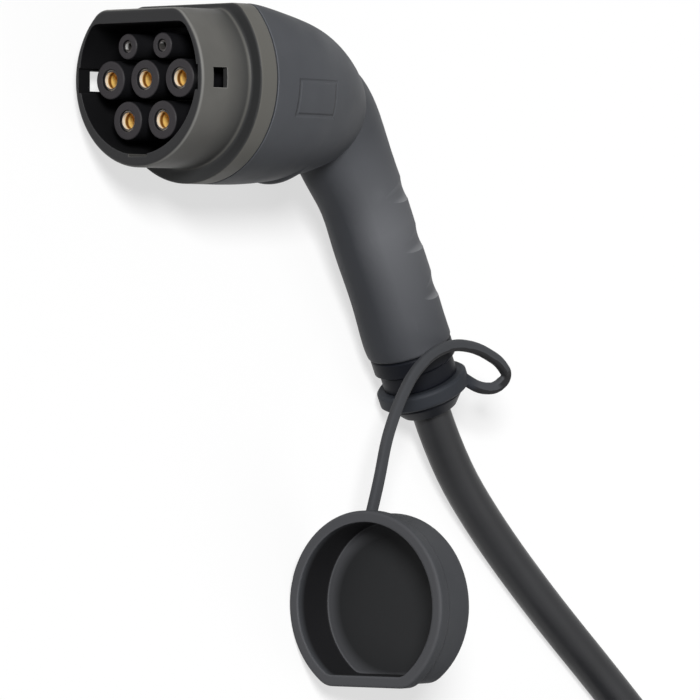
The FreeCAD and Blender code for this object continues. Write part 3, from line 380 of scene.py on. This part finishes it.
def woven(name, finish):
    # hook-and-loop band: crossed ribs
    material = newMaterial(name)
    tree = material.node_tree
    shader = shaderFor(tree, finish)
    shader.inputs["Roughness"].default_value = finish["rough"]
    shader.inputs["Sheen Weight"].default_value = finish["sheen"]
    shader.inputs["Sheen Roughness"].default_value = finish["sheenRough"]
    coordinate = objectPlace(tree)
    ribs = [wavesOn(tree, coordinate, direction, finish["ribs"], finish["waver"]) for direction in "XYZ"]
    weave = mathOn(tree, "MULTIPLY", mathOn(tree, "ADD", ribs[0], ribs[1]), ribs[2])
    darker = shaded(finish["colour"], 1 - finish["spread"])
    lighter = shaded(finish["colour"], 1 + finish["spread"])
    tone = mixColours(tree, rangeOf(tree, weave, 0.0, 1.0, finish["darkest"], 1.0), darker, lighter)
    tree.links.new(tone, shader.inputs["Base Color"])
    tree.links.new(bumpFrom(tree, weave, finish["ribDeep"], finish["ribStrength"]), shader.inputs["Normal"])
    return material


# Places that the zones are measured from, then the finishes. A zone has tones, each with its colour
# and its bounds: a reading, the value where the tone starts and the value where it is full.

gripDown = wayFromConnector(-0.44, 0, -0.898)
capTurn = math.radians(5.0)
places = {
    "mouth": {"centre": (0.0, 0.0, 0.0), "axis": (0.0, -1.0, 0.0)},  # of the earth contact
    "headSide": {"centre": (0.0, 0.0, 0.0), "axis": wayFromConnector(0, 1, 0)},
    "gripRoot": {"centre": tuple(fromConnector(-95, 0, -30)), "axis": gripDown},
    "scoops": {"centre": tuple(fromConnector(-80.6, 0, -37)), "axis": gripDown},
    "capHollow": {
        "centre": tuple(fromConnector(-81.0, 31.9, -188.9)),
        "axis": wayFromConnector(math.cos(capTurn), math.sin(capTurn), 0),
    },
    "tetherRing": {"centre": (0.10836, 0.149165, -0.0195), "axis": tuple(cable["exitWay"])},
}
nearRim = [("along", 0.0008, 0.003)]
besideScoops = [("across", 0.024, 0.028), ("along", 0.01, 0.018), ("along", 0.074, 0.068)]
capFloor = [("along", -0.012, -0.0165), ("facing", 0.5, 0.9)]
contactFront = [("along", -0.0008, -0.0003), ("facing", 0.5, 0.95)]

finishes = {
    "collar": moulded("warmGreyPlastic", {
        "colour": (0.101, 0.099, 0.092), "rough": 0.5, "gloss": 0.2, "edgeHighlight": 1.4, "spread": 0.24,
        "cloud": 24.0,
        "zones": {"mouth": [
            ((0.021, 0.021, 0.022), *nearRim, ("facing", 0.2, 0.75)),  # painted shade on the rim's front
            ((0.16, 0.158, 0.15), *nearRim, ("facing", 0.12, 0.4), ("facing", 0.85, 0.6)),  # painted highlight on its round
            ((0.057, 0.057, 0.055), ("along", -0.009, -0.0185)),  # painted shade, darker towards the flange
            ((0.108, 0.105, 0.095), ("along", -0.0195, -0.0208)),  # flange
            # painted shade on the back walls of the lock windows
            (
                (0.02, 0.02, 0.02), ("along", -0.0035, -0.0045), ("along", -0.017, -0.0155),
                ("facing", 0.5, 0.9),
            ),
            ((0.024, 0.0245, 0.025), ("along", -0.02, -0.0208), ("facing", 0.35, 0.8)),  # painted shade on the flange's front
            ((0.0045, 0.0045, 0.005), ("outward", 0.0, -0.008)),  # painted shade inside
        ]},
    }),
    "nose": moulded("plugNosePlastic", {
        "colour": (0.045, 0.045, 0.044), "rough": 0.5, "gloss": 0.2, "spread": 0.12,
    }),
    "carrier": moulded("innerPlastic", {
        "colour": (0.006, 0.006, 0.007), "rough": 0.5, "gloss": 0.2, "edgeHighlight": 0.6, "spread": 0.12,
        "grainStrength": 0.2,
        "zones": {"mouth": [
            ((0.027, 0.0245, 0.027), ("along", -0.002, -0.0005), ("facing", 0.3, 0.9)),  # painted light on the towers' fronts, lighter than the rest of this plastic
        ]},
    }),
    "shell": moulded("coolGreyPlastic", {
        "colour": (0.062, 0.065, 0.072), "rough": 0.55, "gloss": 0.15, "edgeHighlight": 1.6, "spread": 0.16,
        "cloud": 22.0, "edge": 0.0009,
        "panel": {
            "rear": 0.0531, "halfLong": 0.0115, "high": -0.0064, "halfTall": 0.0061,
            "line": 0.0009, "lineBed": 0.00027, "deep": 0.0004,  # half of the line's width and of its bed's
        },
        "zones": {
            "gripRoot": [
                # painted highlight on the grip near its root
                ((0.112, 0.115, 0.124), ("along", -0.01, 0.03)),
                # painted shade lower down the grip
                ((0.06, 0.0625, 0.069), ("along", 0.03, 0.07)),
            ],
            "headSide": [
                # painted shade on faces that look to neither side
                ((0.034, 0.036, 0.041), ("facing", -0.78, -0.2), ("facing", 0.78, 0.2)),
            ],
            "scoops": [
                ((0.24, 0.245, 0.255), *besideScoops, ("facing", -0.04, -0.2)),  # painted highlight on the lower walls
                ((0.15, 0.155, 0.165), *besideScoops, ("facing", 0.08, 0.25)),  # painted highlight on the upper walls
            ],
        },
    }),
    "plainShell": moulded("coolGreyPlainPlastic", {
        "colour": (0.078, 0.082, 0.09), "rough": 0.52, "gloss": 0.2, "edgeHighlight": 0.4, "spread": 0.12,
        "cloud": 22.0,
    }),
    "boot": moulded("bootRubber", {
        "colour": (0.0036, 0.0043, 0.0068), "rough": 0.45, "gloss": 0.12, "edgeHighlight": 2.5, "spread": 0.2,
    }),
    "cap": moulded("capRubber", {
        "colour": (0.042, 0.044, 0.0485), "rough": 0.6, "gloss": 0.2, "edgeHighlight": 0.7, "spread": 0.12,
        "grain": 1500.0, "edge": 0.0014,
        "zones": {
            "capHollow": [
                ((0.054, 0.055, 0.0595), ("along", -0.002, -0.0005), ("facing", 0.4, 0.85)),  # painted light on the rim
                ((0.009, 0.009, 0.01), ("along", -0.0015, -0.004), ("outward", -0.004, -0.012)),  # painted shade on the inner wall
                # painted shade on the hollow's floor
                ((0.0145, 0.015, 0.016), *capFloor),
                ((0.05, 0.051, 0.055), *capFloor, ("across", 0.0245, 0.0285)),  # painted highlight on the round at the floor's edge
            ],
            "tetherRing": [
                # painted shade on the ring itself, without the strap
                (
                    (0.018, 0.0205, 0.0255), ("across", 0.0205, 0.0178),
                    ("along", 0.007, 0.005), ("along", -0.007, -0.005),
                ),
            ],
        },
    }),
    "seal": moulded("sealRubber", {
        "colour": (0.006, 0.006, 0.0065), "rough": 0.7, "gloss": 0.15, "edgeHighlight": 0.1,
    }),
    "cable": moulded("sheathRubber", {
        "colour": (0.0165, 0.0168, 0.0185), "rough": 0.42, "edgeHighlight": 0.0, "spread": 0.16, "cloud": 40.0,
        "grain": 1200.0, "edge": 0.0002,
    }),
    "gold": turned("goldPlate", {
        "colour": (1.0, 0.68, 0.2), "metal": 0.3, "rough": 0.34, "gloss": 0.6,
        "zones": {"mouth": [
            # dark ring inside the sleeve, a painted highlight on its lip, its dark front
            ((0.18, 0.07, 0.012), ("along", -0.0034, -0.0028), ("along", -0.0012, -0.0019)),
            ((1.0, 0.9, 0.72), ("along", -0.0016, -0.0011)),
            ((0.03, 0.027, 0.03), *contactFront),
        ]},
    }),
    "silver": turned("silverPlate", {
        "colour": (0.1, 0.095, 0.09), "metal": 0.6, "rough": 0.28, "gloss": 0.6,
        "zones": {"mouth": [
            # painted highlight on the lip
            ((0.9, 0.9, 0.88), ("along", -0.0016, -0.001), ("outward", 0.0, -0.001)),
            ((0.06, 0.052, 0.05), *contactFront),
        ]},
    }),
    "pin": turned("pinPlate", {"colour": (0.7, 0.69, 0.66), "metal": 1.0, "rough": 0.28, "gloss": 0.5}),
    "steel": turned("screwSteel", {
        "colour": (0.5, 0.5, 0.5), "metal": 1.0, "rough": 0.35, "gloss": 0.5, "rings": 1500.0,
    }),
    "band": woven("bandWeave", {
        "colour": (0.02, 0.02, 0.022), "metal": 0.0, "rough": 0.85, "gloss": 0.2,
        "spread": 0.4, "darkest": 0.1, "ribs": 420.0, "waver": 1.5, "ribDeep": 0.0003, "ribStrength": 0.6,
        "sheen": 0.3, "sheenRough": 0.5,
    }),
}
wornBy = {
    "collar": ["contact_shroud"],
    "nose": ["plug_nose", "plug_base"],
    "carrier": ["contact_carrier", "contact_retainer", "clamp_half_front", "clamp_half_back"],
    "steel": ["retainer_screws", "clamp_screws"],
    "seal": ["flange_seal", "cable_seal"],
    "shell": ["handle_shell"],
    "plainShell": ["plug_shell"],
    "boot": ["strain_relief", "plug_strain_relief"],
    "cable": ["sheath_tail", "cable_lead", "cable_coil", "cable_end"],
    "cap": ["tethered_cap"],
    "band": ["coil_tie"],
    "gold": [], "silver": [], "pin": [],
}
coreColours = {
    "pe": (0.16, 0.36, 0.05), "n": (0.02, 0.1, 0.42),
    "l1": (0.09, 0.04, 0.02), "l2": (0.012, 0.012, 0.012), "l3": (0.2, 0.2, 0.2),
    "cp": (0.45, 0.45, 0.43), "pp": (0.42, 0.3, 0.2),
}
for pole, colour in coreColours.items():
    plating = "silver" if pole in ("cp", "pp") else "gold"
    wornBy[plating].append(pole + "_contact")
    wornBy["pin"].append("plug_" + pole + "_pin")
    wornBy[pole + "Core"] = [pole + "_core"]
    finishes[pole + "Core"] = moulded(pole + "Insulation", {"colour": colour, "rough": 0.4, "edgeHighlight": 0.2})
wearing = {node: finish for finish, nodes in wornBy.items() for node in nodes}
for node, finish in wearing.items():
    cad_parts[node].data.materials.clear()
    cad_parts[node].data.materials.append(finishes[finish])
cordCurve.materials.append(finishes["cable"])
print("stage: finishes on", len(wearing), "nodes")

# Band round the coil

band = {
    "angle": 235.0, "wide": 0.02, "thick": 0.0012, "play": 0.0003,
    "inner": 0.0552, "outer": 0.1146, "high": 0.029,  # the turns that it holds
    "bow": 0.001,  # how far the inner turn curves away across the band's width
    "corner": 0.004, "cornerSteps": 5, "softEdge": 0.0004, "softSteps": 2, "smoothUpTo": 35.0,
}


def deselectAll():
    if bpy.context.object and bpy.context.object.mode != "OBJECT":
        bpy.ops.object.mode_set(mode="OBJECT")
    bpy.ops.object.select_all(action="DESELECT")


def settle(piece):
    # the place goes into the mesh, so that patterns keep still
    deselectAll()
    piece.select_set(True)
    bpy.context.view_layer.objects.active = piece
    bpy.ops.object.transform_apply(location=True, rotation=True, scale=True)


def coilBand():
    # a box round the turns, open at two sides, with round corners and a thin wall
    low = band["inner"] - band["play"] - band["bow"] - band["thick"]
    high = band["outer"] + band["play"] + band["thick"]
    tall = band["high"] + 2 * band["thick"] + band["play"]
    deselectAll()
    bpy.ops.mesh.primitive_cube_add(size=1.0, location=((low + high) / 2, 0, tall / 2))
    piece = bpy.context.object
    piece.name = "coilBand"
    piece.scale = (high - low, band["wide"], tall)
    settle(piece)
    bpy.ops.object.mode_set(mode="EDIT")
    mesh = bmesh.from_edit_mesh(piece.data)
    for side in mesh.faces:
        side.select = abs(side.normal.y) > 0.9  # the two open sides
    bmesh.update_edit_mesh(piece.data)
    bpy.ops.mesh.delete(type="ONLY_FACE")
    mesh = bmesh.from_edit_mesh(piece.data)
    bpy.ops.mesh.select_all(action="DESELECT")
    bpy.ops.mesh.select_mode(type="EDGE")
    for edge in mesh.edges:
        first, second = (spot.co for spot in edge.verts)
        edge.select = abs(first.y - second.y) > band["wide"] / 2  # the four corners
    bmesh.update_edit_mesh(piece.data)
    bpy.ops.mesh.bevel(offset=band["corner"], segments=band["cornerSteps"])
    bpy.ops.mesh.select_all(action="SELECT")
    bpy.ops.mesh.normals_make_consistent(inside=False)
    bpy.ops.object.mode_set(mode="OBJECT")
    wall = piece.modifiers.new("wall", "SOLIDIFY")
    wall.thickness = band["thick"]
    wall.offset = -1.0
    softEdge = piece.modifiers.new("softEdge", "BEVEL")
    softEdge.width = band["softEdge"]
    softEdge.segments = band["softSteps"]
    softEdge.limit_method = "ANGLE"
    for modifier in ("wall", "softEdge"):
        bpy.ops.object.modifier_apply(modifier=modifier)
    bpy.ops.object.shade_smooth_by_angle(angle=math.radians(band["smoothUpTo"]))
    piece.rotation_euler = (0, 0, math.radians(band["angle"]))
    piece.location = (*coil["centre"], lie["floor"])
    settle(piece)
    piece.data.materials.append(finishes["band"])
    return piece


bandPiece = coilBand()
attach(bandPiece, "charging_cable")
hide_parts("coil_tie")
print("stage: band")

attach(cableObject, "charging_cable")
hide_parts("cable_lead", "cable_coil", "cable_end")

# Floor, lamps and surroundings

studio = {
    "floorSize": 8.0, "floorMiddle": (0.2, 0.1), "floorRough": 0.9,
    "floorColour": 0.93, "floorReflected": 0.2, "floorGlow": 0.66,
    "ambient": 0.1, "backdrop": 0.95,
    "sunStrength": 3.9, "sunAngle": 16.0, "sunFrom": back * 1.7 + upward * 0.5 + right * 0.15,
    "fillPower": 2.5, "fillSize": 1.0, "fillFrom": Vector((0.9, 0.6, 1.2)),
}


def seenOn(tree):
    # 1 for what the camera sees, also by way of gloss and clear pieces
    path = addNode(tree, "ShaderNodeLightPath", {}).outputs
    seen = mathOn(tree, "MAXIMUM", path["Is Camera Ray"], path["Is Glossy Ray"])
    return mathOn(tree, "MAXIMUM", seen, path["Is Transmission Ray"])


def floorFinish():
    # pale ground that keeps shadows and throws little light back on the part
    material = newMaterial("paleFloor")
    tree = material.node_tree
    seen = seenOn(tree)
    pale = mixColours(tree, seen, (studio["floorReflected"],) * 3, (studio["floorColour"],) * 3)
    ground = addNode(tree, "ShaderNodeBsdfPrincipled", {
        "Base Color": pale, "Roughness": studio["floorRough"], "Specular IOR Level": 0.0,
    })
    glow = addNode(tree, "ShaderNodeEmission", {})
    surface = addNode(tree, "ShaderNodeMixShader", {
        "Fac": mathOn(tree, "MULTIPLY", seen, studio["floorGlow"]),
        1: ground.outputs["BSDF"], 2: glow.outputs["Emission"],
    })
    addNode(tree, "ShaderNodeOutputMaterial", {"Surface": surface.outputs["Shader"]})
    return material


def surroundings():
    # plain white where it is seen, weak where it lights the part
    world = bpy.data.worlds.new("studioWorld")
    world.use_nodes = True
    tree = world.node_tree
    tree.nodes.clear()
    strength = rangeOf(tree, seenOn(tree), studio["ambient"], studio["backdrop"], 0.0, 1.0)
    backdrop = addNode(tree, "ShaderNodeBackground", {"Color": (1.0, 1.0, 1.0, 1.0), "Strength": strength})
    addNode(tree, "ShaderNodeOutputWorld", {"Surface": backdrop.outputs["Background"]})
    return world


def lamp(name, kind, offset, energy):
    data = bpy.data.lights.new(name, kind)
    data.energy = energy
    lampObject = bpy.data.objects.new(name, data)
    bpy.context.scene.collection.objects.link(lampObject)
    lampObject.location = camera["target"] + offset
    lampObject.rotation_euler = offset.to_track_quat("Z", "Y").to_euler()
    return data


deselectAll()
bpy.ops.mesh.primitive_plane_add(size=studio["floorSize"], location=(*studio["floorMiddle"], lie["floor"]))
floor = bpy.context.object
floor.name = "studioFloor"
settle(floor)
floor.data.materials.append(floorFinish())
bpy.context.scene.world = surroundings()
sun = lamp("keySun", "SUN", studio["sunFrom"], studio["sunStrength"])
sun.angle = math.radians(studio["sunAngle"])
fill = lamp("fillLamp", "AREA", studio["fillFrom"], studio["fillPower"])
fill.size = studio["fillSize"]
bpy.context.scene.view_settings.view_transform = "Standard"
print("stage: studio")
